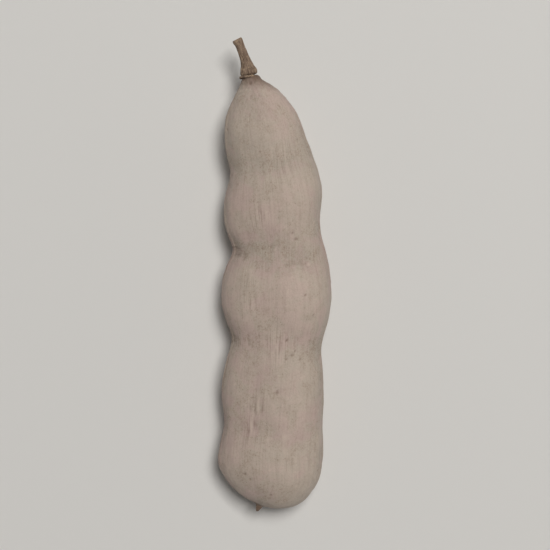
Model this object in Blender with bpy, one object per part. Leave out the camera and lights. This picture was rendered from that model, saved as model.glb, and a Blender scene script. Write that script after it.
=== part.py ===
"""Tamarind pod: one whole ripe pod lying on its flat side, with the cut stub of its stalk.

Run it with blender --background --python part.py, or from Blender's text editor.
Metres, +Z up. The pod lies along Y on the plane z = 0, its rounded tip towards -Y and its stalk
towards +Y. Its outer edge, the back of the curve, faces +X. The origin is on that plane, under
the middle of the bounding box. The tables below are in millimetres.
"""

import math
from collections import namedtuple

import bmesh
import bpy
from mathutils import Matrix, Vector, noise

MM = 0.001

# ---------------------------------------------------------------- driving dimensions, in mm
POD_LENGTH = 114.0  # along the curve, from the point of the beak to the end of the neck
STALK_LENGTH = 9.8
GAP = 0.3  # between the neck's end and the stalk's cup

RINGS = 96  # round the pod, from the beak to the neck
SIDES = 52  # along each ring
RING_CROWDING = 0.86  # 0 spaces the rings evenly, 1 crowds them fully towards both ends
EDGE_CROWDING = 0.42  # the same for the points of a ring, towards the two seams

# The pod's four sides, each a row of arcs with one for every seed. A station is the distance
# along the curve from the beak's point. Where two arcs meet they leave a waist. A power of 0.5
# makes an arc elliptical, less makes it blunter and more draws it out.
Arc = namedtuple("Arc", "station reach before after power_before power_after", defaults=(0.5, 0.5))
OUTER = (
    Arc(12.4, 12.7, 10.6, 23.6, power_before=0.50),
    Arc(31.0, 12.3, 24.0, 27.5),
    Arc(57.0, 13.9, 19.0, 25.5),
    Arc(84.0, 12.2, 17.5, 17.0),
    Arc(97.0, 9.9, 13.0, 17.5, power_after=0.86),
)
INNER = (
    Arc(12.8, 13.7, 11.0, 19.3, power_before=0.40),
    Arc(31.8, 13.6, 18.4, 21.0),
    Arc(57.4, 14.4, 17.2, 15.4),
    Arc(78.4, 13.2, 15.0, 16.5),
    Arc(96.0, 10.6, 14.6, 18.5, power_after=0.80),
)
UPPER = (
    Arc(12.4, 9.5, 10.6, 21.8, power_before=0.46),
    Arc(31.4, 10.1, 25.0, 28.0),
    Arc(56.0, 10.7, 24.0, 19.8),
    Arc(79.8, 10.0, 22.4, 20.6),
    Arc(97.2, 8.2, 14.6, 17.6, power_after=0.84),
)
LOWER = (
    Arc(12.2, 9.5, 10.5, 19.3, power_before=0.46),
    Arc(31.8, 10.3, 21.0, 21.5),
    Arc(56.8, 10.5, 19.0, 18.4),
    Arc(80.2, 10.2, 17.0, 17.4),
    Arc(97.0, 8.2, 13.4, 17.8, power_after=0.84),
)
ARC_UNION = 9.0  # how sharply one arc gives way to the next
SECTION_POWER = 2.15  # 2 is an ellipse, more is squarer
UPPER_LEAN = 0.14  # the share by which the upper face rises at its outer edge and falls at the inner one
WAIST_DRIFT, WAIST_DRIFT_SIZE = 3.4, 15.0  # how far a waist wanders along the pod as it crosses a face
WAIST_DRIFT_FADE = 24.0  # length over which that dies away at each end

# The seeds push the flat faces out. A swell is an oval, placed across from the middle line.
Swell = namedtuple("Swell", "station across half_length half_width height")
UPPER_SWELLS = (
    Swell(12.5, 1.2, 9.0, 8.4, 0.55),
    Swell(27.0, 2.6, 8.8, 8.6, 0.40),
    Swell(38.0, 3.6, 6.6, 7.4, 0.35),
    Swell(54.8, 6.0, 9.8, 8.2, 1.25),
    Swell(80.0, 2.4, 9.8, 8.4, 0.80),
    Swell(98.4, 0.4, 7.8, 6.2, 0.60),
)
LOWER_SWELLS = (
    Swell(13.0, -0.8, 8.2, 7.6, 0.40),
    Swell(31.5, 1.4, 10.5, 8.4, 0.40),
    Swell(57.2, 2.6, 9.0, 8.4, 0.60),
    Swell(80.4, 0.6, 9.0, 7.8, 0.45),
    Swell(98.0, 0.2, 7.2, 6.0, 0.45),
)
SWELL_POWER = 1.3  # less makes a swell flatter on top with a sharper edge
RELIEF_POWER = 0.6  # how fast the relief of a face dies away towards the two seams

# Folds where the shell is drawn in between two seeds. Each crosses a face at a slant, so its
# station grows by slant for each millimetre across, and it is bent by curve times that squared.
Fold = namedtuple("Fold", "station slant curve across half_span half_width depth")
UPPER_FOLDS = (
    Fold(22.0, 0.16, -0.020, -6.4, 6.4, 1.7, 0.40),
    Fold(45.6, 0.24, 0.0, -6.4, 5.8, 1.7, 0.45),
    Fold(46.2, -0.45, 0.030, 3.0, 7.6, 1.5, 0.45),
    Fold(65.4, -0.62, 0.0, -6.2, 6.2, 1.5, 0.60),
    Fold(65.2, 0.27, -0.015, 5.0, 8.8, 1.6, 0.65),
    Fold(89.8, -0.20, 0.022, -1.0, 9.4, 1.8, 0.55),
)
LOWER_FOLDS = (
    Fold(22.0, 0.12, 0.012, 2.0, 8.6, 1.7, 0.50),
    Fold(44.6, 0.18, -0.014, 0.0, 10.8, 1.8, 0.80),
    Fold(69.4, -0.22, 0.016, 0.0, 10.6, 1.7, 0.85),
    Fold(90.0, 0.14, -0.018, 0.0, 8.6, 1.6, 0.60),
)

# A strand under the shell leaves a long shallow channel beside the seeds of the upper face.
CHANNEL_ACROSS = -4.4
CHANNEL_FROM, CHANNEL_TO = 18.0, 76.0
CHANNEL_FADE = 8.0
CHANNEL_SWAY, CHANNEL_SWAY_LENGTH = 0.9, 9.0
CHANNEL_HALF_WIDTH = 2.1
CHANNEL_DEPTH = 0.34

# The two seams, along the outer and the inner edge.
SEAM_HEIGHT = 0.42
SEAM_HALF_WIDTH = 1.15
SEAM_WANDER = 0.10  # how far a seam wavers about its edge, in radians
SEAM_WANDER_LENGTH = 31.0
SEAM_FADE = 9.0  # length over which a seam dies away at each end

# The middle line bows towards +X, hooks back at the neck and leans inwards at the tip.
BOW = 1.9
HOOK, HOOK_FROM = 5.2, 72.0
TIP_LEAN, TIP_LEAN_LENGTH = 3.4, 17.0
HEIGHT = 10.15  # of the middle line over the plane that the pod lies on
TIP_RISE = 0.7
NECK_RISE, NECK_RISE_FROM = 2.4, 70.0
TWIST = math.radians(5.0)  # from the tip to the neck

BEAK_RADIUS, BEAK_LENGTH, BEAK_TAPER = 1.15, 3.2, 2.4
NECK_RADIUS, NECK_FROM, NECK_SHOULDER, NECK_POWER = 2.55, 96.0, 4.6, 1.6
NECK_LIP, NECK_LIP_LENGTH = 0.22, 0.9  # the rim at its end draws in by that share of its radius

DENT_DEPTH, DENT_SIZE = 0.30, 11.0  # broad unevenness of the whole shell
DIMPLE_DEPTH, DIMPLE_SIZE = 0.13, 4.6  # and a finer one over it
EVEN_UNDER = 6.0  # both die away where the pod gets thinner than this

# The stalk: radius at each distance from the cup's rim.
STALK_PROFILE = (
    (0.0, 1.95),
    (0.35, 2.34),
    (1.0, 2.40),
    (2.0, 2.02),
    (3.1, 1.62),
    (4.5, 1.36),
    (6.2, 1.24),
    (7.7, 1.22),
    (8.8, 1.36),
    (9.5, 1.44),
    (STALK_LENGTH, 1.32),
)
STALK_BEND = 1.5  # sideways sweep over its length
STALK_BEVEL_STEPS = 5

# Colour, roughness and metallic value of the two materials.
SHELL_LOOK = ("tamarind_shell", (0.415, 0.325, 0.275), 0.86, 0.0)
STALK_LOOK = ("stalk_wood", (0.225, 0.158, 0.112), 0.90, 0.0)


# ---------------------------------------------------------------- small maths
def clamp(value, low=0.0, high=1.0):
    return max(low, min(high, value))


def ease(value):
    """Smooth step from 0 to 1."""
    value = clamp(value)
    return value * value * (3.0 - 2.0 * value)


def bell(value):
    """1 at 0, falling to 0 at 1 and -1 with no kink."""
    return (1.0 - clamp(value * value)) ** 2


def crowded(share, crowding, waves):
    """A share from 0 to 1 pulled towards each of the waves + 1 places that divide it evenly."""
    turn = 2.0 * math.pi * waves
    return share - crowding * math.sin(turn * share) / turn


# ---------------------------------------------------------------- the pod's form
def arc_reach(arc, station):
    """Height of one arc at a station, 0 beyond its ends."""
    offset = station - arc.station
    span, power = (
        (arc.after, arc.power_after) if offset > 0.0 else (arc.before, arc.power_before)
    )
    return arc.reach * max(0.0, 1.0 - (offset / span) ** 2) ** power


def neck_reach(station):
    """The cone that draws the last seed's arc out into the neck."""
    if station < NECK_FROM:
        return 0.0
    share = (station - NECK_FROM) / (POD_LENGTH - NECK_FROM)
    cone = NECK_RADIUS + NECK_SHOULDER * (1.0 - share) ** NECK_POWER * ease(share * 4.0)
    return cone * (1.0 - NECK_LIP * clamp(1.0 - (POD_LENGTH - station) / NECK_LIP_LENGTH) ** 2)


def beak_reach(station):
    """The short hard point at the tip."""
    return BEAK_RADIUS * clamp(station / BEAK_TAPER) ** 0.55 * clamp(2.0 - station / BEAK_LENGTH)


def side_reach(arcs, station):
    """The arcs of one side joined smoothly, with the beak and the neck."""
    parts = [arc_reach(arc, station) for arc in arcs]
    parts += [neck_reach(station), beak_reach(station)]
    return sum(part**ARC_UNION for part in parts) ** (1.0 / ARC_UNION)


def middle(station):
    """The middle line at a station, lying along +Y."""
    half = POD_LENGTH / 2.0
    bow = -BOW * ((station - half) / half) ** 2
    hook = -HOOK * clamp((station - HOOK_FROM) / (POD_LENGTH - HOOK_FROM)) ** 2
    lean = -TIP_LEAN * clamp(1.0 - station / TIP_LEAN_LENGTH) ** 2
    tip_rise = TIP_RISE * clamp(1.0 - station / TIP_LEAN_LENGTH) ** 2
    neck_rise = NECK_RISE * clamp((station - NECK_RISE_FROM) / (POD_LENGTH - NECK_RISE_FROM)) ** 2
    return Vector((bow + hook + lean, station, HEIGHT + tip_rise + neck_rise))


def section_axes(station):
    """Unit vectors across and up in the section at a station, and along the pod."""
    step = 0.25
    along = (middle(station + step) - middle(station - step)).normalized()
    across = along.cross(Vector((0.0, 0.0, 1.0))).normalized()
    turn = Matrix.Rotation(TWIST * (station / POD_LENGTH - 0.5), 3, along)
    across = turn @ across
    return across, across.cross(along), along


def swell_height(swells, station, across):
    """How far the seeds push a face out here."""
    height = 0.0
    for swell in swells:
        away = math.hypot(
            (station - swell.station) / swell.half_length,
            (across - swell.across) / swell.half_width,
        )
        height += swell.height * max(0.0, 1.0 - away**2) ** SWELL_POWER
    return height


def fold_depth(folds, station, across):
    """How far the folds draw a face in here."""
    depth = 0.0
    for fold in folds:
        offset = across - fold.across
        line = fold.station + fold.slant * offset + fold.curve * offset**2
        depth += (
            fold.depth
            * bell((station - line) / (2.0 * fold.half_width))
            * bell(offset / fold.half_span)
        )
    return depth


def channel_depth(station, across):
    fade = ease((station - CHANNEL_FROM) / CHANNEL_FADE) * ease((CHANNEL_TO - station) / CHANNEL_FADE)
    line = CHANNEL_ACROSS + CHANNEL_SWAY * math.sin(station / CHANNEL_SWAY_LENGTH)
    return CHANNEL_DEPTH * fade * bell((across - line) / (2.0 * CHANNEL_HALF_WIDTH))


def seam_height(station, angle, reach):
    """The ridge of the nearer seam. Its distance is measured along the shell."""
    seam = 0.0 if math.cos(angle) > 0.0 else math.pi
    seam += SEAM_WANDER * math.sin(station / SEAM_WANDER_LENGTH * 2.0 * math.pi + seam)
    away = math.remainder(angle - seam, 2.0 * math.pi) * reach
    fade = ease(station / SEAM_FADE) * ease((POD_LENGTH - station) / SEAM_FADE)
    return SEAM_HEIGHT * fade * bell(away / (2.0 * SEAM_HALF_WIDTH))


def waist_drift(station, angle):
    """How far along the pod the waists of its faces have wandered here."""
    place = Vector((station / WAIST_DRIFT_SIZE, math.cos(angle), 2.0 * math.sin(angle)))
    fade = ease(station / WAIST_DRIFT_FADE) * ease((POD_LENGTH - station) / WAIST_DRIFT_FADE)
    return WAIST_DRIFT * fade * noise.noise(place)


def unevenness(point):
    broad = DENT_DEPTH * noise.noise(point / DENT_SIZE)
    fine = DIMPLE_DEPTH * noise.noise(point / DIMPLE_SIZE + Vector((17.0, 5.0, 3.0)))
    return broad + fine


def shell_point(station, angle):
    """A point of the shell at a station and an angle, 0 at the outer seam and 90 degrees on top."""
    cosine, sine = math.cos(angle), math.sin(angle)
    wide = side_reach(OUTER if cosine > 0.0 else INNER, station)
    high = side_reach(UPPER if sine > 0.0 else LOWER, station + waist_drift(station, angle))
    power = 2.0 / SECTION_POWER
    across = wide * math.copysign(abs(cosine) ** power, cosine)
    up = high * math.copysign(abs(sine) ** power, sine)
    above = sine > 0.0
    if above:
        up *= 1.0 + UPPER_LEAN * across / wide
    relief = swell_height(UPPER_SWELLS if above else LOWER_SWELLS, station, across)
    relief -= fold_depth(UPPER_FOLDS if above else LOWER_FOLDS, station, across)
    if above:
        relief -= channel_depth(station, across)
    relief *= abs(sine) ** RELIEF_POWER
    relief += seam_height(station, angle, wide)

    side, upward, _ = section_axes(station)
    centre = middle(station)
    outward = (side * (across / wide**2) + upward * (up / high**2)).normalized()
    point = centre + side * across + upward * up
    relief += unevenness(point) * ease(min(wide, high) / EVEN_UNDER)
    return point + outward * relief


# ---------------------------------------------------------------- objects
def finish(name, mesh, look):
    """A node of that mesh, shaded smooth, with its own material."""
    material = bpy.data.materials.new(look[0])
    material.use_nodes = True
    shader = material.node_tree.nodes["Principled BSDF"]
    shader.inputs["Base Color"].default_value = (*look[1], 1.0)
    shader.inputs["Roughness"].default_value = look[2]
    shader.inputs["Metallic"].default_value = look[3]
    mesh.materials.clear()
    mesh.materials.append(material)
    mesh.shade_smooth()
    node = bpy.data.objects.new(name, mesh)
    bpy.context.scene.collection.objects.link(node)
    return node


def make_pod():
    """A sphere whose rings become the pod's sections. Its last ring and pole close the neck flat."""
    body = bmesh.new()
    bmesh.ops.create_uvsphere(body, u_segments=SIDES, v_segments=RINGS, radius=1.0)
    for vertex in body.verts:
        height = clamp(vertex.co.z, -1.0, 1.0)
        ring = round(RINGS * (1.0 - math.acos(height) / math.pi))
        if ring in (0, RINGS):
            station = POD_LENGTH * ring / RINGS
            vertex.co = middle(station)
            continue
        turn = math.atan2(vertex.co.y, vertex.co.x) / (2.0 * math.pi)
        angle = 2.0 * math.pi * crowded(turn, EDGE_CROWDING, 2)
        station = POD_LENGTH * crowded(min(1.0, ring / (RINGS - 1)), RING_CROWDING, 1)
        vertex.co = shell_point(station, angle)
    for vertex in body.verts:
        vertex.co.z = max(0.0, vertex.co.z)  # the small flats that it lies on
        vertex.co *= MM
    # The sphere's X, Y and Z went to X, Z and Y, which turns it inside out, so its faces turn back.
    bmesh.ops.reverse_faces(body, faces=body.faces)
    mesh = bpy.data.meshes.new("pod")
    body.to_mesh(mesh)
    body.free()
    return finish("pod", mesh, SHELL_LOOK)


def make_stalk():
    """A tapered, slightly bent twig that starts in a cup over the neck's end."""
    side, upward, along = section_axes(POD_LENGTH)
    root = middle(POD_LENGTH) + along * GAP
    curve = bpy.data.curves.new("stalk", "CURVE")
    curve.dimensions = "3D"
    curve.bevel_depth = MM
    curve.bevel_resolution = STALK_BEVEL_STEPS
    curve.use_fill_caps = True
    line = curve.splines.new("POLY")
    line.points.add(len(STALK_PROFILE) - 1)
    for point, (distance, radius) in zip(line.points, STALK_PROFILE):
        sweep = STALK_BEND * (distance / STALK_LENGTH) ** 2
        place = root + along * distance - side * sweep + upward * sweep * 0.4
        point.co = (*(place * MM), 1.0)
        point.radius = radius
    guide = bpy.data.objects.new("stalk_guide", curve)
    bpy.context.scene.collection.objects.link(guide)
    bpy.context.view_layer.update()
    mesh = bpy.data.meshes.new_from_object(guide.evaluated_get(bpy.context.evaluated_depsgraph_get()))
    bpy.data.objects.remove(guide)
    mesh.name = "stalk"
    body = bmesh.new()
    body.from_mesh(mesh)
    bmesh.ops.remove_doubles(body, verts=body.verts, dist=0.01 * MM)
    bmesh.ops.recalc_face_normals(body, faces=body.faces)
    body.to_mesh(mesh)
    body.free()
    return finish("stalk", mesh, STALK_LOOK)


def centre_over_origin(nodes):
    """Moves the nodes sideways together, so that the origin is under their common box."""
    corners = [vertex.co for node in nodes for vertex in node.data.vertices]
    low = Vector(map(min, zip(*corners)))
    high = Vector(map(max, zip(*corners)))
    shift = Matrix.Translation((-(low.x + high.x) / 2.0, -(low.y + high.y) / 2.0, 0.0))
    for node in nodes:
        node.data.transform(shift)


def main():
    for old in list(bpy.data.objects):
        bpy.data.objects.remove(old)
    centre_over_origin([make_pod(), make_stalk()])


main()
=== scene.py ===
"""The finish of a whole tamarind pod: its scurfy shell, the cut stub of its stalk, and a plain stage.

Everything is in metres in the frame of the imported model, which lies along Y on the plane z = 0
with its tip towards -Y. Lengths whose names end in _MM, the sizes of the relief's noises, and the grain
and radius attributes are in millimetres.
"""

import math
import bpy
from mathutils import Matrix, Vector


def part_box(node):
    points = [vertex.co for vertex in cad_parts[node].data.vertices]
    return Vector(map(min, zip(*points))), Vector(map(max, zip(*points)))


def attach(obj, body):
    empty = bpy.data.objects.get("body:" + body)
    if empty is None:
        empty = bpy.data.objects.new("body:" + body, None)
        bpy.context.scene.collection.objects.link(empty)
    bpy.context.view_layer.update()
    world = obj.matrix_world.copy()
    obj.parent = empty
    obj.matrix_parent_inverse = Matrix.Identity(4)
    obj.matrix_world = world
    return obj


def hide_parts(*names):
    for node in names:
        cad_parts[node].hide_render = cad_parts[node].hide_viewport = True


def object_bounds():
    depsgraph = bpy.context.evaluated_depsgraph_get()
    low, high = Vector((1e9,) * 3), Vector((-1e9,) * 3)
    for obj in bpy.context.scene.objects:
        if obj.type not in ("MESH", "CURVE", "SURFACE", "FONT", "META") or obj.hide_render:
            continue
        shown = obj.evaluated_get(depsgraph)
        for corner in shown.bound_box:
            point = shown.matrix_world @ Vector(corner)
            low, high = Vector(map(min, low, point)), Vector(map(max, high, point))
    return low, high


bl_info = {
    "name": "Tamarind Pod",
    "version": (1, 0, 0),
    "blender": (4, 5, 0),
    "location": "3D View > Sidebar > Tamarind",
    "description": "Finishes a tamarind pod and its stalk over their solids, and sets a plain stage",
    "category": "Add Mesh",
}

import bpy
import numpy as np
from bpy.props import FloatProperty, FloatVectorProperty, IntProperty, PointerProperty
from mathutils import Vector, noise

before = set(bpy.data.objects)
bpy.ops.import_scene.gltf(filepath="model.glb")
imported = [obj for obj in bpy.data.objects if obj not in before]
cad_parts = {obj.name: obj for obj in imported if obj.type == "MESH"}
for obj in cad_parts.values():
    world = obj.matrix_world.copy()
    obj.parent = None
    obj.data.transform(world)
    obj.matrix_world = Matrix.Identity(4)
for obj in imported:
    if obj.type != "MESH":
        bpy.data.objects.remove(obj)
CAD_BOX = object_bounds()

MM = 0.001
BODY = "root"
POD_LOW, POD_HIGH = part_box("pod")
STALK_LOW, STALK_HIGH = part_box("stalk")
POD_LENGTH_MM = (POD_HIGH.y - POD_LOW.y) / MM
MIDDLE = (CAD_BOX[0] + CAD_BOX[1]) / 2
LENGTH = CAD_BOX[1].y - CAD_BOX[0].y


# ---------------------------------------------------------------- what a user would change
class ShellSettings(bpy.types.PropertyGroup):
    """Sizes and colours of the pod's shell."""

    smoothing: IntProperty(
        name="Smoothing", description="Subdivisions of the solid's faces", default=2, min=0, max=2
    )
    lumps: FloatProperty(
        name="Lumps", description="Height of the lumps a few millimetres across",
        default=0.16 * MM, unit="LENGTH", precision=5,
    )
    wrinkles: FloatProperty(
        name="Wrinkles", description="Depth of the fine wrinkles along the shell",
        default=0.075 * MM, unit="LENGTH", precision=5,
    )
    puckers: FloatProperty(
        name="Puckers", description="Depth of the puckers across the waists",
        default=0.09 * MM, unit="LENGTH", precision=5,
    )
    skin: FloatProperty(
        name="Skin", description="Height of the finest relief",
        default=0.026 * MM, unit="LENGTH", precision=5,
    )
    pits: IntProperty(
        name="Pits", description="How many pits lie anywhere, beside the placed ones", default=40, min=0
    )
    flecks: IntProperty(
        name="Flecks", description="How many pale raised flecks lie anywhere, beside the placed ones",
        default=150, min=0,
    )
    scurf: FloatVectorProperty(
        name="Scurf", description="Colour of the dry coat that covers the shell",
        subtype="COLOR", size=3, min=0, max=1, default=(0.458, 0.351, 0.311),
    )
    bloom: FloatVectorProperty(
        name="Bloom", description="Colour of the greyer patches of that coat",
        subtype="COLOR", size=3, min=0, max=1, default=(0.408, 0.356, 0.295),
    )
    bare: FloatVectorProperty(
        name="Bare", description="Colour of the shell where the coat is thin",
        subtype="COLOR", size=3, min=0, max=1, default=(0.290, 0.208, 0.158),
    )
    # This colour is also laid as painted shade in the shell's hollows and creases and along its seams.
    crease: FloatVectorProperty(
        name="Crease", description="Colour in the creases and the pits",
        subtype="COLOR", size=3, min=0, max=1, default=(0.130, 0.080, 0.052),
    )
    rubbed: FloatVectorProperty(
        name="Rubbed", description="Colour of the places that rubbed against other pods",
        subtype="COLOR", size=3, min=0, max=1, default=(0.570, 0.464, 0.390),
    )


class StalkSettings(bpy.types.PropertyGroup):
    """Sizes and colours of the stalk and the ring where it meets the pod."""

    bark: FloatVectorProperty(
        name="Bark", description="Colour of the bark", subtype="COLOR", size=3, min=0, max=1,
        default=(0.250, 0.178, 0.128),
    )
    # This colour is also laid as painted shade in the bark's hollows.
    furrow: FloatVectorProperty(
        name="Furrow", description="Colour between the ridges of the bark",
        subtype="COLOR", size=3, min=0, max=1, default=(0.098, 0.060, 0.040),
    )
    wood: FloatVectorProperty(
        name="Wood", description="Colour of the wood at the cut", subtype="COLOR", size=3, min=0, max=1,
        default=(0.470, 0.345, 0.228),
    )
    rim: FloatProperty(
        name="Bark thickness", description="Width of the bark round the cut wood",
        default=0.17 * MM, unit="LENGTH", precision=5,
    )
    recess: FloatProperty(
        name="Recess", description="How far the cut wood has shrunk back inside the bark",
        default=0.11 * MM, unit="LENGTH", precision=5,
    )
    collar: FloatProperty(
        name="Collar", description="Thickness of the corky ring at the stalk's root",
        default=0.35 * MM, unit="LENGTH", precision=5,
    )


class StageSettings(bpy.types.PropertyGroup):
    """The floor, the lamps and the camera."""

    floor: FloatVectorProperty(
        name="Floor", description="Colour of the floor", subtype="COLOR", size=3, min=0, max=1,
        default=(0.70, 0.69, 0.67),
    )
    key: FloatProperty(name="Key", description="Power of the main lamp", default=16.8, unit="POWER")
    fill: FloatProperty(name="Fill", description="Power of the second lamp", default=0.1, unit="POWER")
    sky: FloatProperty(name="Sky", description="Strength of the light from all round", default=0.09)
    lens: FloatProperty(
        name="Lens", description="Focal length", default=100.0, unit="CAMERA", subtype="DISTANCE_CAMERA"
    )


# ---------------------------------------------------------------- shader maths
class Wire:
    """A value in a material's nodes. An expression on wires adds its Math nodes."""

    def __init__(self, finish, socket):
        self.finish = finish
        self.socket = socket

    def maths(self, operation, *values):
        return self.finish.node("ShaderNodeMath", {"operation": operation}, dict(enumerate(values)))

    def __add__(self, other):
        return self.maths("ADD", self, other)

    def __sub__(self, other):
        return self.maths("SUBTRACT", self, other)

    def __rsub__(self, other):
        return self.maths("SUBTRACT", other, self)

    def __mul__(self, other):
        return self.maths("MULTIPLY", self, other)

    __radd__ = __add__
    __rmul__ = __mul__

    def between(self, low, high):
        """0 below low, 1 above high and smooth in between. Low may be the larger one."""
        return self.finish.node(
            "ShaderNodeMapRange", {"interpolation_type": "SMOOTHSTEP"},
            {"Value": self, "From Min": low, "From Max": high},
        )


# The sockets of a Mix node that mixes colours.
MIX_MASK, MIX_UNDER, MIX_OVER, MIX_RESULT = 0, 6, 7, 2


def opaque(colour):
    """A plain colour with its alpha, and a wire as it is."""
    return colour if isinstance(colour, Wire) else (*colour, 1.0)


class Finish:
    """A material in the making."""

    def __init__(self, name):
        self.material = bpy.data.materials.new(name)
        self.material.use_nodes = True
        self.nodes = self.material.node_tree.nodes
        self.links = self.material.node_tree.links
        self.shader = self.nodes["Principled BSDF"]

    def node(self, kind, settings=None, sockets=None, output=0):
        """Adds a node: its settings first, then the values or wires of its sockets."""
        node = self.nodes.new(kind)
        for name, value in (settings or {}).items():
            setattr(node, name, value)
        self.set_sockets(node, sockets or {})
        return Wire(self, node.outputs[output])

    def set_sockets(self, node, sockets):
        for name, value in sockets.items():
            if isinstance(value, Wire):
                self.links.new(value.socket, node.inputs[name])
            else:
                node.inputs[name].default_value = value

    def place(self):
        """The place in the object's own coordinates, in metres."""
        return self.node("ShaderNodeTexCoord", output="Object")

    def own(self, attribute, output="Fac"):
        """A value that the mesh keeps for each vertex."""
        return self.node("ShaderNodeAttribute", {"attribute_name": attribute}, output=output)

    def stretched(self, vector, scale, shift=(0.0, 0.0, 0.0)):
        """The vector squeezed or drawn out in each direction, then shifted."""
        return self.node("ShaderNodeMapping", None, {"Vector": vector, "Scale": scale, "Location": shift})

    def ruffled(self, vector, scale, reach):
        """The place pushed about by noise, which breaks up straight edges."""
        push = self.node("ShaderNodeTexNoise", None, {"Vector": vector, "Scale": scale}, "Color")
        return self.node(
            "ShaderNodeVectorMath", {"operation": "MULTIPLY_ADD"}, {0: push, 1: (reach,) * 3, 2: vector}
        )

    def cloud(self, vector, scale, detail, roughness=0.55, distortion=0.0):
        """Soft noise from 0 to 1."""
        return self.node(
            "ShaderNodeTexNoise", None,
            {"Vector": vector, "Scale": scale, "Detail": detail, "Roughness": roughness,
             "Distortion": distortion},
        )

    def cells(self, vector, scale, output="Distance"):
        """Irregular cells: the distance from their middles, or a colour of their own."""
        return self.node("ShaderNodeTexVoronoi", None, {"Vector": vector, "Scale": scale}, output)

    def layers(self, colour, *coats):
        """A colour under coats of other colours, each laid where its mask is 1."""
        for over, mask in coats:
            colour = self.mix(colour, over, mask)
        return colour

    def mix(self, under, over, mask):
        """One colour laid over another where the mask is 1."""
        sockets = {MIX_MASK: mask, MIX_UNDER: opaque(under), MIX_OVER: opaque(over)}
        return self.node("ShaderNodeMix", {"data_type": "RGBA"}, sockets, MIX_RESULT)

    def bump(self, height, distance):
        """A normal for a surface with that relief, which rises by the distance where the height is 1."""
        return self.node("ShaderNodeBump", None, {"Height": height, "Distance": distance, "Strength": 1.0})


# What the shell's mesh keeps for its finish, beside the grain.
SHELL_MASKS = ("hollow", "crease", "pit", "fleck", "seam", "scratch", "stroke", "tips")
# Patterns of the shell: repeats to the metre, then the detail, roughness and distortion of a cloud.
DRIFT, BLOOM = (48.0, 2.0, 0.5), (95.0, 3.0, 0.5)
PATCHES, MOTTLE, DUST = (210.0, 4.0, 0.6, 0.6), (620.0, 4.0, 0.65, 0.3), (2300.0, 2.0, 0.7)
GRANULES, SCALES, SCALE_RUFFLE, SCALE_RUFFLE_REACH = 1300.0, 3600.0, 4200.0, 0.32 * MM
# Patterns on the grain: what it is multiplied by and shifted by, and the detail and roughness.
FIBRES = ((1.25, 0.085, 1.25), (0.0, 0.0, 0.0), 5.0, 0.62)
GATHERS = ((0.17, 1.7, 0.17), (5.0, 0.0, 3.0), 3.0, 0.6)
THREADS = ((2.5, 0.12, 2.5), (31.0, 7.0, 0.0), 1.0, 0.5)
SHELL_BUMP = 0.14 * MM


def shell_finish(look):
    """Dry shell under a thin coat of fine scurf, pale where it rubbed, with brown painted shade in its
    hollows, creases and along its seams.
    """
    finish = Finish("tamarind_shell")
    place = finish.place()
    grain = finish.own("grain", "Vector")
    hollow, crease, pit, fleck, seam, scratch, stroke, tips = map(finish.own, SHELL_MASKS)

    drift, bloom, patches, mottle, dust = (
        finish.cloud(place, *cloud) for cloud in (DRIFT, BLOOM, PATCHES, MOTTLE, DUST)
    )
    granules = finish.cells(place, GRANULES)
    scales = finish.cells(finish.ruffled(place, SCALE_RUFFLE, SCALE_RUFFLE_REACH), SCALES, "Color")
    fibres, gathers, threads = (
        finish.cloud(finish.stretched(grain, scale, shift), 1.0, detail, roughness)
        for scale, shift, detail, roughness in (FIBRES, GATHERS, THREADS)
    )

    calm = 1.0 - tips
    greyer = (drift * 0.45 + patches * 0.55).between(0.41, 0.59)
    thin = (patches * 0.50 + mottle * 0.42 + fibres * 0.20).between(0.50, 0.74)
    worn = (bloom * 0.6 + patches * 0.5 - hollow * 0.35).between(0.52, 0.76) * calm
    speck = granules.between(0.30, 0.08) * patches.between(0.46, 0.62)
    scurfy = (0.55 * mottle + 0.45 * patches + 0.2 * hollow).between(0.40, 0.60)
    # Painted shade: the shell is darkened where it lies back at the waists, in its fine creases and along
    # the gathered puckers in its hollows.
    shade = (hollow * 0.8 + mottle * 0.5).between(0.45, 1.25)
    gathered = gathers.between(0.47, 0.38) * hollow.between(0.12, 0.60)
    crease_shade = (crease * 0.7 + mottle * 0.9 - 0.45).between(0.15, 0.90)

    colour = finish.layers(
        look.scurf,
        (look.bloom, greyer),
        (look.bare, thin * 0.50),
        (look.rubbed, worn * (0.16 + 0.40 * dust)),
        (look.bare, dust.between(0.50, 0.28) * 0.22),
        (look.bare, scales.between(0.42, 0.20) * (0.10 + 0.34 * scurfy)),
        (look.rubbed, scales.between(0.58, 0.80) * (0.10 + 0.20 * scurfy)),
        # Painted shade in the crease colour: the waists, the fine creases and the puckers' furrows.
        (look.crease, shade * 0.24),
        (look.crease, crease_shade * 0.28),
        (look.crease, gathered * 0.17),
        (look.crease, speck * 0.34),
        (look.rubbed, threads.between(0.54, 0.62) * (0.10 + 0.75 * scratch) * calm),
        (look.crease, threads.between(0.45, 0.38) * (0.07 + 0.38 * scratch) * calm),
        (look.rubbed, fleck * (0.25 + 0.5 * dust)),
        # Painted shade along the seams' grooves and in a band either side of them.
        (look.crease, seam * 0.36),
        (look.rubbed, stroke.between(0.05, 0.80) * (0.30 + 0.50 * fibres)),
        (look.crease, stroke.between(-0.05, -0.80) * (0.14 + 0.30 * fibres)),
        (look.crease, pit * 0.44),
        (look.crease, tips * (0.56 + 0.75 * mottle)),
    )
    height = mottle * 0.50 + dust * 0.42 + fibres * (0.45 * calm) + threads * (scratch * 0.8)
    height = height - gathered * 0.8 + scales * (0.10 + 0.20 * scurfy)
    finish.set_sockets(finish.shader, {
        "Base Color": colour,
        "Roughness": 0.80 + 0.16 * mottle - 0.10 * worn,
        "Normal": finish.bump(height, SHELL_BUMP),
        "Sheen Weight": 0.10,
        "Sheen Roughness": 0.6,
        "Specular IOR Level": 0.30,
    })
    return finish.material


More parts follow.
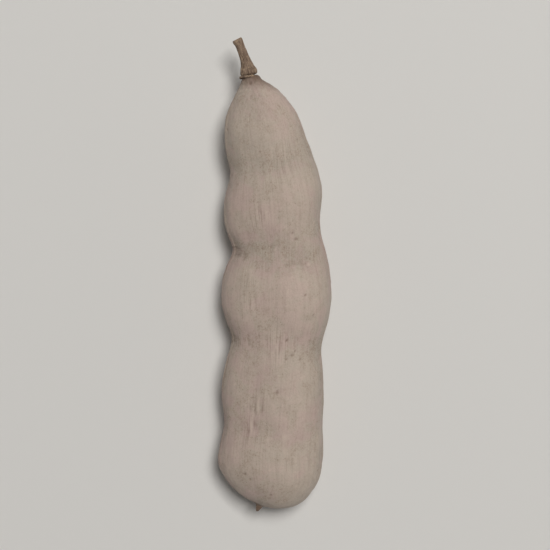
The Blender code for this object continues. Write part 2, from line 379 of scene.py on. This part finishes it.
# Patterns of the stalk, laid out as the shell's.
BARK_RIDGES = ((2.6, 0.35, 2.6), 4.0, 0.6)
BARK_MOTTLE, BARK_PORES, BARK_BUMP = (900.0, 3.0, 0.6), 1700.0, 0.16 * MM
WOOD_TONE, WOOD_PORES, WOOD_BUMP = (1500.0, 3.0), 8500.0, 0.08 * MM
RING_TURN_TO_THE_MM, RING_WANDER = 21.0, 5.0  # in radians, a whole turn from ring to ring
CORK_MOTTLE, CORK_CRUMBS, CORK_BUMP = (1100.0, 4.0, 0.65), 2600.0, 0.14 * MM


def bark_finish(look):
    """Dry ridged bark with paler crests, and painted shade in its hollows."""
    finish = Finish("stalk_bark")
    place = finish.place()
    grain = finish.own("grain", "Vector")
    hollow = finish.own("hollow")
    scale, detail, roughness = BARK_RIDGES
    ridge = finish.cloud(finish.stretched(grain, scale), 1.0, detail, roughness)
    mottle = finish.cloud(place, *BARK_MOTTLE)
    pores = finish.cells(place, BARK_PORES).between(0.30, 0.14)
    colour = finish.layers(
        look.bark,
        (look.furrow, ridge.between(0.56, 0.36) * 0.75),
        (look.wood, mottle.between(0.50, 0.70) * 0.45),
        (look.wood, pores * 0.35),
        # Painted shade: the furrow colour laid where the bark lies back.
        (look.furrow, hollow.between(0.1, 0.9) * 0.75),
    )
    finish.set_sockets(finish.shader, {
        "Base Color": colour,
        "Roughness": 0.78 + 0.15 * mottle,
        "Normal": finish.bump(ridge * 0.8 + mottle * 0.4 + pores * 0.3, BARK_BUMP),
        "Specular IOR Level": 0.3,
    })
    return finish.material


def cut_finish(look):
    """Pale dry wood of the cut end, in faint rings with open pores, round a darker pith."""
    finish = Finish("stalk_cut")
    place = finish.place()
    radius = finish.own("radius")
    pores = finish.cells(place, WOOD_PORES).between(0.36, 0.10)
    tone = finish.cloud(place, *WOOD_TONE)
    turn = radius * RING_TURN_TO_THE_MM + tone * RING_WANDER
    rings = turn.maths("SINE", turn).between(0.2, 1.0)
    pith = (radius + tone * 0.25).between(0.46, 0.30)
    colour = finish.layers(
        look.wood,
        (look.bark, rings * 0.40),
        (look.bark, tone.between(0.42, 0.68) * 0.6),
        (look.furrow, pores * 0.42),
        (look.furrow, pith * 0.85),
    )
    finish.set_sockets(finish.shader, {
        "Base Color": colour,
        "Roughness": 0.88,
        "Normal": finish.bump(tone - pores, WOOD_BUMP),
    })
    return finish.material


def cork_finish(look):
    """Crumbly brown cork of the ring at the stalk's root."""
    finish = Finish("stalk_cork")
    place = finish.place()
    crumbs = finish.cells(place, CORK_CRUMBS)
    mottle = finish.cloud(place, *CORK_MOTTLE)
    colour = finish.layers(
        look.bark,
        (look.wood, mottle.between(0.44, 0.66) * 0.7),
        (look.furrow, crumbs.between(0.34, 0.62) * 0.7),
    )
    finish.set_sockets(finish.shader, {
        "Base Color": colour,
        "Roughness": 0.92,
        "Normal": finish.bump(mottle - crumbs * 0.6, CORK_BUMP),
    })
    return finish.material


def floor_finish(look):
    """Plain pale matt floor."""
    finish = Finish("stage_floor")
    finish.set_sockets(finish.shader, {
        "Base Color": opaque(look.floor),
        "Roughness": 0.9,
        "Specular IOR Level": 0.1,
    })
    return finish.material


# ---------------------------------------------------------------- small helpers
MERGE_DISTANCE = 0.002 * MM
QUAD_ANGLE = math.radians(60)
SMOOTHING_SHARE = 0.6  # how far a value moves to its neighbours' mean in one round
RIDGE_SHARPNESS = 3.0


def ease(value):
    """Smooth step from 0 to 1, on arrays too."""
    value = np.clip(value, 0.0, 1.0)
    return value * value * (3.0 - 2.0 * value)


def bell(value):
    """1 at 0, falling to 0 at 1 and -1 with no kink."""
    return (1.0 - np.clip(value * value, 0.0, 1.0)) ** 2


def lumps(points, size, seed):
    """Soft noise from -1 to 1 at each point, with lumps about that size across."""
    shift = Vector((seed, seed * 0.7, -seed * 1.3))
    return np.array([noise.noise(Vector(point) + shift) for point in points / size])


def ridges(points, size, seed):
    """Sharp crests, 1 along their lines and 0 well away from them."""
    return 1.0 - np.minimum(1.0, np.abs(lumps(points, size, seed)) * RIDGE_SHARPNESS)


def activate(piece):
    """Leaves that piece selected and active, and nothing else."""
    bpy.ops.object.select_all(action="DESELECT")
    piece.select_set(True)
    bpy.context.view_layer.objects.active = piece


def read_points(mesh):
    """The vertices in millimetres and their normals."""
    points = np.zeros(len(mesh.vertices) * 3, np.float32)
    mesh.vertices.foreach_get("co", points)
    normals = np.zeros(len(mesh.vertices) * 3, np.float32)
    mesh.vertex_normals.foreach_get("vector", normals)
    return points.reshape(-1, 3).astype(float) / MM, normals.reshape(-1, 3).astype(float)


def write_points(mesh, points):
    """Moves the vertices to those places, given in millimetres."""
    mesh.vertices.foreach_set("co", (points * MM).astype(np.float32).ravel())
    mesh.update()


def store(mesh, name, values):
    """Keeps a number or a vector for each vertex, for the material to read."""
    vector = values.ndim == 2
    attribute = mesh.attributes.new(name, "FLOAT_VECTOR" if vector else "FLOAT", "POINT")
    attribute.data.foreach_set("vector" if vector else "value", values.astype(np.float32).ravel())


def smoothed(mesh, values, rounds):
    """Values for each vertex, averaged with their neighbours' again and again."""
    edges = np.zeros(len(mesh.edges) * 2, np.int32)
    mesh.edges.foreach_get("vertices", edges)
    first, second = edges.reshape(-1, 2).T
    count = len(mesh.vertices)
    degree = np.bincount(first, minlength=count) + np.bincount(second, minlength=count)
    columns = values.reshape(count, -1).copy()
    for _ in range(rounds):
        for column in columns.T:
            total = np.bincount(first, column[second], count) + np.bincount(second, column[first], count)
            column[:] = (1.0 - SMOOTHING_SHARE) * column + SMOOTHING_SHARE * total / degree
    return columns.reshape(values.shape)


def copy_of(node_name, piece_name):
    """A new piece with a copy of that node's mesh, its loose triangles merged into quads."""
    piece = bpy.data.objects.new(piece_name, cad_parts[node_name].data.copy())
    bpy.context.scene.collection.objects.link(piece)
    piece.data.materials.clear()
    activate(piece)
    bpy.ops.object.mode_set(mode="EDIT")
    bpy.ops.mesh.select_all(action="SELECT")
    bpy.ops.mesh.remove_doubles(threshold=MERGE_DISTANCE)
    bpy.ops.mesh.tris_convert_to_quads(face_threshold=QUAD_ANGLE, shape_threshold=QUAD_ANGLE)
    bpy.ops.object.mode_set(mode="OBJECT")
    return piece


def subdivide(piece, levels):
    """Smooths the piece's faces into finer ones."""
    modifier = piece.modifiers.new("Smoothing", "SUBSURF")
    modifier.levels = modifier.render_levels = levels
    activate(piece)
    bpy.ops.object.modifier_apply(modifier=modifier.name)


def settle(piece, slot_name, *materials):
    """The last steps for a piece: its materials, smooth shading and body."""
    for material in materials:
        piece.data.materials.append(material)
    piece.data.shade_smooth()
    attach(piece, BODY)


# ---------------------------------------------------------------- the shell
# The middle line is fitted to slabs across the pod: how many, how thick, and how far from its ends.
SLABS, SLAB_MM, SLAB_MARGIN_MM = 60, 2.4, 1.0
MIDDLE_LINE_DEGREE = 6
GRAIN_RADIUS_MM = 10.0  # the largest of the straight bar that the grain is read on
BEAK_PULL_MM = 9.0  # length over which the grain draws in to the beak
BEAK_MM, TIP_STAIN_MM = 1.5, 2.2  # length of the beak, and how far its stain goes beyond it
NECK_STAIN_MM = 5.0
# Rounds of smoothing that tell what lies back, and the depth in millimetres that counts as fully so.
WAISTS, CREASES = (260, 1.5), (6, 0.055)
WAIST_GAIN = 2.2  # the puckers are at their deepest where the hollow times this passes 1
# The relief fades out towards the beak and the stalk, and is puckered along the neck.
BEAK_CLEAR_MM, END_FADE_MM = 1.8, 3.0
NECK_MM, NECK_FADE_MM = 16.0, 12.0
# Noises of the relief: the size in millimetres and the seed.
BIG_LUMPS, SMALL_LUMPS = (6.4, 0.0), (2.9, 8.0)
WRINKLES, PUCKERS, NECK_PUCKERS = (1.9, 5.0), (1.9, 11.0), (1.3, 27.0)
SKIN, SKIN_PATCHES, PINCHES, SEAM_BREAKS = (1.35, 21.0), (9.0, 3.0), (5.5, 17.0), (5.0, 41.0)
ALONG, ACROSS = (1.0, 0.15, 1.0), (0.13, 1.0, 0.13)  # draw a noise out along the pod or across it
# Each seam is a low ridge, higher where its groove is whole, with that groove along its middle.
SEAM_WANDER, SEAM_WANDER_LENGTH_MM = 0.10, 31.0  # the angle that it wanders by, in radians
SEAM_HALF_WIDTH_MM, SEAM_HEIGHT_MM, SEAM_SWELL_MM = 1.3, 0.10, 0.10
GROOVE_HALF_WIDTH_MM, GROOVE_DEPTH_MM = 0.45, 0.24
GROOVE_START_MM, GROOVE_FADE_MM = 2.0, 6.0  # from the beak
# Painted shade along each seam: all of its groove, and this share of a band this wide either side.
SEAM_PAINTED_SHADE, SEAM_PAINTED_SHADE_HALF_WIDTH_MM = 0.4, 2.6
# Marks on the upper face, in millimetres. A station is a distance from the tip along Y.
# Pits: station, x and radius.
PITS = (
    (41.8, 4.15, 0.80), (40.5, 2.85, 0.60), (40.7, 6.40, 0.66), (42.6, 5.30, 0.45), (45.2, 3.10, 0.55),
    (31.7, 0.75, 0.85), (72.8, 4.40, 0.60), (71.2, 5.50, 0.66), (57.2, 8.00, 0.50), (9.4, -6.40, 0.60),
)
# Pale raised flecks: station, x and radius.
FLECKS = (
    (57.3, 3.05, 0.75), (19.9, -1.65, 1.10), (20.3, 2.25, 1.20), (30.0, -6.60, 0.80), (36.0, 6.90, 1.10),
    (64.6, 8.50, 0.70), (78.0, -2.50, 0.60),
)
# Single strokes along the pod: station, x, half length and tone, which is below 0 for a dark crack
# and above 0 for a pale scratch.
STROKES = (
    (28.2, -4.30, 3.0, 1.0), (27.6, -3.45, 2.7, -0.8), (26.9, -5.00, 1.8, -0.8), (27.8, -6.40, 1.7, -0.6),
    (23.0, -6.15, 2.8, 1.0), (23.7, -5.50, 2.2, -1.0), (22.9, -4.10, 2.8, -0.5), (21.7, -6.80, 1.6, -0.7),
    (43.5, 0.40, 2.0, 0.6), (43.4, -0.20, 1.7, -0.5), (41.1, -0.80, 2.0, 0.6), (41.1, -1.45, 1.6, -0.5),
    (45.3, 3.10, 1.1, -0.7), (45.1, 2.30, 1.2, 0.5), (45.1, 3.95, 1.2, 0.4),
    (76.8, -2.00, 1.5, 1.0), (76.9, -2.70, 1.4, -0.6), (77.2, -6.40, 1.6, -0.6),
)
MARK_SEED = 7
MARK_RADII_MM = (0.38, 0.72)  # of the pits and flecks that lie anywhere
FACING_UP = 0.3  # how far up a place faces to take a placed mark
FLECK_HEIGHT_MM, PIT_DEPTH_MM, STROKE_HEIGHT_MM = 0.08, 0.22, 0.05
STROKE_HALF_WIDTH_MM = 0.52
STROKE_WOBBLE_MM, STROKE_WOBBLE_RATE, STROKE_WOBBLE_SHIFT = 0.12, 1.9, 3.0
# Patches of fine lengthwise scratches: station, x, half length, half width, slant and strength.
SCRATCHED = (
    (25.8, -5.4, 6.0, 3.8, 2.0, 0.60),
    (43.6, 1.2, 7.0, 4.0, 0.0, 0.60),
    (76.6, -4.4, 4.6, 3.4, 0.6, 0.60),
    (57.0, -6.6, 8.0, 2.4, 0.0, 0.50),
    (13.0, 4.0, 6.0, 3.4, -0.8, 0.30),
    (92.0, 2.4, 8.0, 3.0, 0.5, 0.30),
)


def middle_line(points):
    """Polynomials of x and z along y for the pod's smooth middle line, and its mean radius by y."""
    first, last = points[:, 1].min() + SLAB_MARGIN_MM, points[:, 1].max() - SLAB_MARGIN_MM
    stations = np.linspace(first, last, SLABS)
    rows = []
    for station in stations:
        slab = points[np.abs(points[:, 1] - station) < SLAB_MM / 2]
        low, high = slab.min(0), slab.max(0)
        rows.append([(low[0] + high[0]) / 2, (low[2] + high[2]) / 2, (high - low)[[0, 2]].mean() / 2])
    rows = np.array(rows)
    across = np.polyfit(stations, rows[:, 0], MIDDLE_LINE_DEGREE)
    upward = np.polyfit(stations, rows[:, 1], MIDDLE_LINE_DEGREE)
    return across, upward, (stations, rows[:, 2])


def along_the_grain(points, line, beak):
    """Each point's angle round the pod and its place on the pod unrolled to a straight round bar."""
    across, upward, (stations, radii) = line
    station = points[:, 1] - beak[1]
    near = ease(1.0 - station / BEAK_PULL_MM)
    side = points[:, 0] - np.polyval(across, points[:, 1]) * (1.0 - near) - beak[0] * near
    up = points[:, 2] - np.polyval(upward, points[:, 1]) * (1.0 - near) - beak[2] * near
    angle = np.arctan2(up, side)
    radius = np.minimum(GRAIN_RADIUS_MM, np.interp(points[:, 1], stations, radii))
    return angle, np.stack([radius * np.cos(angle), station, radius * np.sin(angle)], 1)


def hollows(mesh, points, normals, rounds, depth):
    """-1 on what stands out, 1 in what lies back, by how far smoothing would move the surface."""
    moved = ((smoothed(mesh, points, rounds) - points) * normals).sum(1)
    return np.clip(moved / depth, -1.0, 1.0)


def seam_distance(angle, grain):
    """Signed distance over the shell from the nearer seam."""
    best = np.full(len(angle), np.inf)
    radius = np.hypot(grain[:, 0], grain[:, 2])
    for side in (0.0, math.pi):
        wander = SEAM_WANDER * np.sin(grain[:, 1] / SEAM_WANDER_LENGTH_MM * 2 * math.pi + side)
        away = np.angle(np.exp(1j * (angle - side - wander))) * radius
        best = np.where(np.abs(away) < np.abs(best), away, best)
    return best


def surface_relief(look, points, grain, waist, neck):
    """The height of the shell's lumps, wrinkles and puckers over the solid."""
    patch = ease(0.5 + 1.4 * lumps(points, *SKIN_PATCHES))
    pinch = ease(0.35 + 1.3 * lumps(points, *PINCHES))
    lengthwise, crosswise = grain * ALONG, grain * ACROSS
    relief = look.lumps / MM * (lumps(points, *BIG_LUMPS) + 0.5 * lumps(points, *SMALL_LUMPS))
    relief -= look.wrinkles / MM * ridges(lengthwise, *WRINKLES) * (0.2 + 0.8 * patch + neck)
    relief -= look.puckers / MM * ridges(crosswise, *PUCKERS) * waist * pinch
    relief += look.skin / MM * lumps(points, *SKIN) * (0.6 + 0.8 * patch)
    relief -= look.puckers / MM * ridges(lengthwise, *NECK_PUCKERS) * neck
    return relief


def scratches(points, normals, station):
    """The strength of the patches of scratches at each vertex, from 0 to 1."""
    scratch = np.zeros(len(points))
    for place, x, half_length, half_width, slant, strength in SCRATCHED:
        beside = points[:, 0] - x
        field = bell((station - place - slant * beside) / half_length) * bell(beside / half_width)
        scratch = np.maximum(scratch, np.where(normals[:, 2] > 0.0, strength * field, 0.0))
    return scratch


def spots(points, centres, sizes):
    """For each vertex, how far it lies into the nearest of many small round spots, from 0 to 1."""
    mask = np.zeros(len(points))
    for centre, size in zip(centres, sizes):
        near = np.abs(points[:, 1] - centre[1]) < size
        away = np.linalg.norm(points[near] - centre, axis=1) / size
        mask[near] = np.maximum(mask[near], bell(away))
    return mask


def strokes(points, normals, station):
    """The tone of the single strokes at each vertex, from -1 to 1."""
    tone = np.zeros(len(points))
    for place, x, half_length, strength in STROKES:
        wobble = STROKE_WOBBLE_MM * np.sin(STROKE_WOBBLE_RATE * (station + STROKE_WOBBLE_SHIFT * x))
        beside = (points[:, 0] - x - wobble) / STROKE_HALF_WIDTH_MM
        tone += strength * bell((station - place) / half_length) * bell(beside)
    return np.clip(tone, -1.0, 1.0) * (normals[:, 2] > 0.0)


class TAMARIND_OT_shell(bpy.types.Operator):
    """Finishes the pod's shell over its solid"""

    bl_idname = "tamarind.shell"
    bl_label = "Shell"
    bl_options = {"REGISTER", "UNDO"}

    def execute(self, context):
        look = context.scene.tamarind_shell
        piece = copy_of("pod", "shell")
        subdivide(piece, look.smoothing)
        mesh = piece.data
        points, normals = read_points(mesh)
        beak = points[points[:, 1].argmin()]
        from_beak = np.linalg.norm(points - beak, axis=1)
        angle, grain = along_the_grain(points, middle_line(points), beak)
        station = grain[:, 1]
        from_stalk = POD_LENGTH_MM - station
        hollow = hollows(mesh, points, normals, *WAISTS)
        seam = seam_distance(angle, grain)
        whole = ease(0.62 + 1.1 * lumps(points, *SEAM_BREAKS))
        groove = bell(seam / GROOVE_HALF_WIDTH_MM)
        groove = groove * ease((from_beak - GROOVE_START_MM) / GROOVE_FADE_MM) * whole
        draw = np.random.default_rng(MARK_SEED)
        above = np.flatnonzero(normals[:, 2] > FACING_UP)
        pit = self.marks(points, above, draw, look.pits, PITS)
        fleck = self.marks(points, above, draw, look.flecks, FLECKS)
        stroke = strokes(points, normals, station)

        neck = ease((NECK_MM - from_stalk) / NECK_FADE_MM)
        relief = surface_relief(look, points, grain, ease(hollow * WAIST_GAIN), neck)
        ridge = (SEAM_HEIGHT_MM + SEAM_SWELL_MM * whole) * bell(seam / SEAM_HALF_WIDTH_MM)
        relief += ridge - GROOVE_DEPTH_MM * groove
        relief += FLECK_HEIGHT_MM * fleck - PIT_DEPTH_MM * pit + STROKE_HEIGHT_MM * stroke
        relief *= ease((from_beak - BEAK_CLEAR_MM) / END_FADE_MM) * ease(from_stalk / END_FADE_MM)
        points += normals * relief[:, None]
        points[:, 2] = np.maximum(points[:, 2], 0.0)
        write_points(mesh, points)

        crease = hollows(mesh, points, normals, *CREASES)
        seam_painted_shade = np.maximum(groove, SEAM_PAINTED_SHADE * bell(seam / SEAM_PAINTED_SHADE_HALF_WIDTH_MM))
        scratch = scratches(points, normals, station)
        tip_stain = 1.0 - ease((from_beak - BEAK_MM) / TIP_STAIN_MM)
        neck_stain = 1.0 - ease(from_stalk / NECK_STAIN_MM)
        tips = np.maximum(tip_stain, neck_stain)
        store(mesh, "grain", grain)
        masks = (hollow, crease, pit, fleck, seam_painted_shade, scratch, stroke, tips)
        for name, mask in zip(SHELL_MASKS, masks, strict=True):
            store(mesh, name, mask)
        settle(piece, "tamarind_shell", shell_finish(look))
        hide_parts("pod")
        return {"FINISHED"}

    def marks(self, points, above, draw, number, placed):
        """Small round marks, that number anywhere and the placed ones on the upper face."""
        centres = list(points[draw.integers(0, len(points), number)])
        radii = list(draw.uniform(*MARK_RADII_MM, number))
        for station, x, radius in placed:
            away = np.hypot(points[above, 1] - points[:, 1].min() - station, points[above, 0] - x)
            centres.append(points[above[away.argmin()]])
            radii.append(radius)
        return spots(points, centres, radii)


# ---------------------------------------------------------------- the stalk
STALK_SUBDIVISIONS = 3
STALK_LINE_DEGREE = 2
CAP_FACING = 0.9  # how squarely the faces of the cut end face along the stalk
CUT_RADIUS_MM, CUT_DEPTH_MM = 1.32, 0.5
CUT_REACH_MM = 1.5  # from the stalk's far end, where a face that looks along it is part of the cut
CUT_FACING, CUT_FACING_RANGE = 0.5, 0.4  # where a face starts to count as cut, and how soon wholly
# Steps from the rim of bark down to the cut wood and across it, as shares of the rim's width.
STEP_SHARE, WOOD_STEP_SHARE = 0.3, 1.6
BARK_HOLLOWS = (30, 0.08)
# Noises of the relief: the size in millimetres and the seed, and their heights in millimetres.
BARK_FURROWS, BARK_LUMPS, CUT_LUMPS = (0.62, 4.0), (0.8, 2.0), (0.3, 9.0)
FURROW_MM, BARK_LUMP_MM, CUT_LUMP_MM = 0.13, 0.06, 0.03
BARK_ALONG = (1.0, 0.18, 1.0)
COLLAR_RADIUS_MM = 2.14
COLLAR_SEGMENTS, COLLAR_RING_SEGMENTS = 72, 16
# The collar's lumps: the size and the seed, and their heights as shares of its thickness.
COLLAR_LUMPS, COLLAR_CRUMBS = (0.75, 13.0), (0.3, 5.0)
COLLAR_LUMP_SHARE, COLLAR_CRUMB_SHARE = 0.36, 0.20


def stalk_line():
    """Polynomials of x and z along y for the middle of the stalk, in millimetres."""
    x, y, z = read_points(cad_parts["stalk"].data)[0].T
    return np.polyfit(y, x, STALK_LINE_DEGREE), np.polyfit(y, z, STALK_LINE_DEGREE)


def stalk_place(line, y):
    """The middle of the stalk at that y, and its direction there."""
    across, upward = line
    along = Vector((np.polyval(np.polyder(across), y), 1.0, np.polyval(np.polyder(upward), y)))
    return Vector((np.polyval(across, y), y, np.polyval(upward, y))), along.normalized()


class TAMARIND_OT_stalk(bpy.types.Operator):
    """Finishes the stalk's bark and its cut end"""

    bl_idname = "tamarind.stalk"
    bl_label = "Stalk"
    bl_options = {"REGISTER", "UNDO"}

    def execute(self, context):
        look = context.scene.tamarind_stalk
        line = stalk_line()
        piece = copy_of("stalk", "stalk_bark")
        along = stalk_place(line, STALK_HIGH.y / MM)[1]
        self.open_cut(piece, look, line, along)
        subdivide(piece, STALK_SUBDIVISIONS)
        mesh = piece.data
        points, normals = read_points(mesh)
        side = points[:, 0] - np.polyval(line[0], points[:, 1])
        up = points[:, 2] - np.polyval(line[1], points[:, 1])
        grain = np.stack([side, points[:, 1], up], 1)
        cut = ease((normals @ np.array(along) - CUT_FACING) / CUT_FACING_RANGE)
        cut *= points[:, 1] > points[:, 1].max() - CUT_REACH_MM
        relief = -FURROW_MM * ridges(grain * BARK_ALONG, *BARK_FURROWS)
        relief += BARK_LUMP_MM * lumps(points, *BARK_LUMPS)
        relief = relief * (1.0 - cut) + CUT_LUMP_MM * lumps(points, *CUT_LUMPS) * cut
        points += normals * relief[:, None]
        write_points(mesh, points)
        store(mesh, "grain", grain)
        store(mesh, "radius", np.hypot(side, up))
        store(mesh, "hollow", hollows(mesh, points, normals, *BARK_HOLLOWS))
        settle(piece, "stalk_wood", bark_finish(look), cut_finish(look))
        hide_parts("stalk")
        return {"FINISHED"}

    def open_cut(self, piece, look, line, along):
        """Sets the cut wood back inside the rim of bark."""
        mesh = piece.data
        end = max(vertex.co.dot(along) for vertex in mesh.vertices)
        activate(piece)
        bpy.ops.object.mode_set(mode="EDIT")
        bpy.ops.mesh.select_mode(type="FACE")
        bpy.ops.mesh.select_all(action="DESELECT")
        bpy.ops.object.mode_set(mode="OBJECT")
        for face in mesh.polygons:
            far = face.center.dot(along) > end - CUT_DEPTH_MM * MM
            face.select = far and face.normal.dot(along) > CAP_FACING
        bpy.ops.object.mode_set(mode="EDIT")
        bpy.ops.mesh.dissolve_faces()
        bpy.ops.mesh.inset(thickness=look.rim)
        bpy.ops.mesh.inset(thickness=STEP_SHARE * look.rim, depth=-look.recess)
        bpy.ops.mesh.inset(thickness=STEP_SHARE * look.rim)
        bpy.ops.mesh.inset(thickness=WOOD_STEP_SHARE * look.rim)
        bpy.ops.object.mode_set(mode="OBJECT")
        for face in mesh.polygons:
            reach = face.center - stalk_place(line, face.center.y / MM)[0] * MM
            inside = (reach - along * reach.dot(along)).length < CUT_RADIUS_MM * MM - look.rim
            if inside and face.center.dot(along) > end - CUT_DEPTH_MM * MM:
                face.material_index = 1


class TAMARIND_OT_collar(bpy.types.Operator):
    """Makes the corky ring between the pod's neck and the stalk"""

    bl_idname = "tamarind.collar"
    bl_label = "Collar"
    bl_options = {"REGISTER", "UNDO"}

    def execute(self, context):
        look = context.scene.tamarind_stalk
        middle, along = stalk_place(stalk_line(), STALK_LOW.y / MM)
        bpy.ops.object.select_all(action="DESELECT")
        bpy.ops.mesh.primitive_torus_add(
            major_segments=COLLAR_SEGMENTS, minor_segments=COLLAR_RING_SEGMENTS,
            major_radius=COLLAR_RADIUS_MM * MM, minor_radius=look.collar,
            location=middle * MM, rotation=along.to_track_quat("Z", "Y").to_euler(),
        )
        piece = bpy.context.object
        piece.name = "collar"
        bpy.ops.object.transform_apply(location=True, rotation=True, scale=True)
        points, normals = read_points(piece.data)
        relief = COLLAR_LUMP_SHARE * look.collar / MM * lumps(points, *COLLAR_LUMPS)
        relief += COLLAR_CRUMB_SHARE * look.collar / MM * lumps(points, *COLLAR_CRUMBS)
        write_points(piece.data, points + normals * relief[:, None])
        settle(piece, "stalk_wood", cork_finish(look))
        return {"FINISHED"}


# ---------------------------------------------------------------- the stage
FLOOR_RADIUS, FLOOR_SIDES = 0.6, 96
COVE_RADIUS, COVE_STEPS = 0.4, 16
FRAME_FILL = 0.86  # the share of the picture's height that the pod takes
SENSOR_MM = 36.0
KEY_PLACE, KEY_SIZE, KEY_COLOUR = (0.27, 0.36, 1.44), 0.50, (1.0, 0.985, 0.96)
FILL_PLACE, FILL_SIZE, FILL_COLOUR = (-1.05, -0.32, 0.96), 1.1, (0.95, 0.97, 1.0)
SKY_COLOUR = (0.97, 0.98, 1.0, 1.0)


def aim(thing, place, target):
    """Puts a lamp or a camera at a place, turned to the target."""
    thing.location = place
    thing.rotation_euler = (Vector(target) - Vector(place)).to_track_quat("-Z", "Y").to_euler()


def lamp(name, place, size, power, colour):
    """A square lamp that lights the pod from that place."""
    light = bpy.data.lights.new(name, "AREA")
    light.size = size
    light.energy = power
    light.color = colour
    thing = bpy.data.objects.new(name, light)
    bpy.context.scene.collection.objects.link(thing)
    aim(thing, place, MIDDLE)


class TAMARIND_OT_stage(bpy.types.Operator):
    """Sets the floor, the lamps, the sky and the camera"""

    bl_idname = "tamarind.stage"
    bl_label = "Stage"
    bl_options = {"REGISTER", "UNDO"}

    def execute(self, context):
        look = context.scene.tamarind_stage
        self.make_floor(look)
        lamp("key", KEY_PLACE, KEY_SIZE, look.key, KEY_COLOUR)
        lamp("fill", FILL_PLACE, FILL_SIZE, look.fill, FILL_COLOUR)
        world = bpy.data.worlds.new("sky")
        world.use_nodes = True
        sky = world.node_tree.nodes["Background"]
        sky.inputs["Color"].default_value = SKY_COLOUR
        sky.inputs["Strength"].default_value = look.sky
        context.scene.world = world
        self.make_camera(look)
        context.scene.view_settings.view_transform = "Standard"
        return {"FINISHED"}

    def make_floor(self, look):
        """A round floor that curves up into a low wall."""
        bpy.ops.object.select_all(action="DESELECT")
        bpy.ops.mesh.primitive_circle_add(vertices=FLOOR_SIDES, radius=FLOOR_RADIUS, fill_type="NGON")
        floor = bpy.context.object
        floor.name = "floor"
        bpy.ops.object.mode_set(mode="EDIT")
        bpy.ops.mesh.select_all(action="SELECT")
        reach, height = FLOOR_RADIUS, 0.0
        for step in range(1, COVE_STEPS + 1):
            turn = math.pi / 2 * step / COVE_STEPS
            next_reach = FLOOR_RADIUS + COVE_RADIUS * math.sin(turn)
            next_height = COVE_RADIUS * (1.0 - math.cos(turn))
            if step == 1:
                bpy.ops.mesh.select_mode(type="EDGE")
                bpy.ops.mesh.region_to_loop()
            bpy.ops.mesh.extrude_edges_move(
                TRANSFORM_OT_translate={"value": (0.0, 0.0, next_height - height)}
            )
            grow = next_reach / reach
            bpy.ops.transform.resize(value=(grow, grow, 1.0), center_override=(0.0, 0.0, next_height))
            reach, height = next_reach, next_height
        bpy.ops.object.mode_set(mode="OBJECT")
        floor.data.shade_smooth()
        floor.data.materials.append(floor_finish(look))

    def make_camera(self, look):
        """A long lens straight above the pod's middle."""
        camera = bpy.data.cameras.new("camera")
        camera.lens = look.lens
        camera.sensor_width = SENSOR_MM
        thing = bpy.data.objects.new("camera", camera)
        bpy.context.scene.collection.objects.link(thing)
        distance = LENGTH / FRAME_FILL * look.lens / SENSOR_MM
        aim(thing, (MIDDLE.x, MIDDLE.y, MIDDLE.z + distance), MIDDLE)
        bpy.context.scene.camera = thing


# ---------------------------------------------------------------- panel and registration
OPERATORS = (TAMARIND_OT_shell, TAMARIND_OT_stalk, TAMARIND_OT_collar, TAMARIND_OT_stage)
SETTINGS = {
    "tamarind_shell": ShellSettings,
    "tamarind_stalk": StalkSettings,
    "tamarind_stage": StageSettings,
}


class TAMARIND_PT_panel(bpy.types.Panel):
    """Lists the pod's pieces and the stage"""

    bl_label = "Tamarind Pod"
    bl_idname = "TAMARIND_PT_panel"
    bl_space_type = "VIEW_3D"
    bl_region_type = "UI"
    bl_category = "Tamarind"

    def draw(self, context):
        for operator in OPERATORS:
            self.layout.operator(operator.bl_idname)
        for group, kind in SETTINGS.items():
            box = self.layout.box()
            for name in kind.__annotations__:
                box.prop(getattr(context.scene, group), name)


CLASSES = (*SETTINGS.values(), *OPERATORS, TAMARIND_PT_panel)


def register():
    for item in CLASSES:
        bpy.utils.register_class(item)
    for group, kind in SETTINGS.items():
        setattr(bpy.types.Scene, group, PointerProperty(type=kind))


def unregister():
    for group in SETTINGS:
        delattr(bpy.types.Scene, group)
    for item in reversed(CLASSES):
        bpy.utils.unregister_class(item)


def main():
    register()
    bpy.ops.tamarind.stage()
    bpy.ops.tamarind.shell()
    bpy.ops.tamarind.stalk()
    bpy.ops.tamarind.collar()


if __name__ == "__main__":
    main()
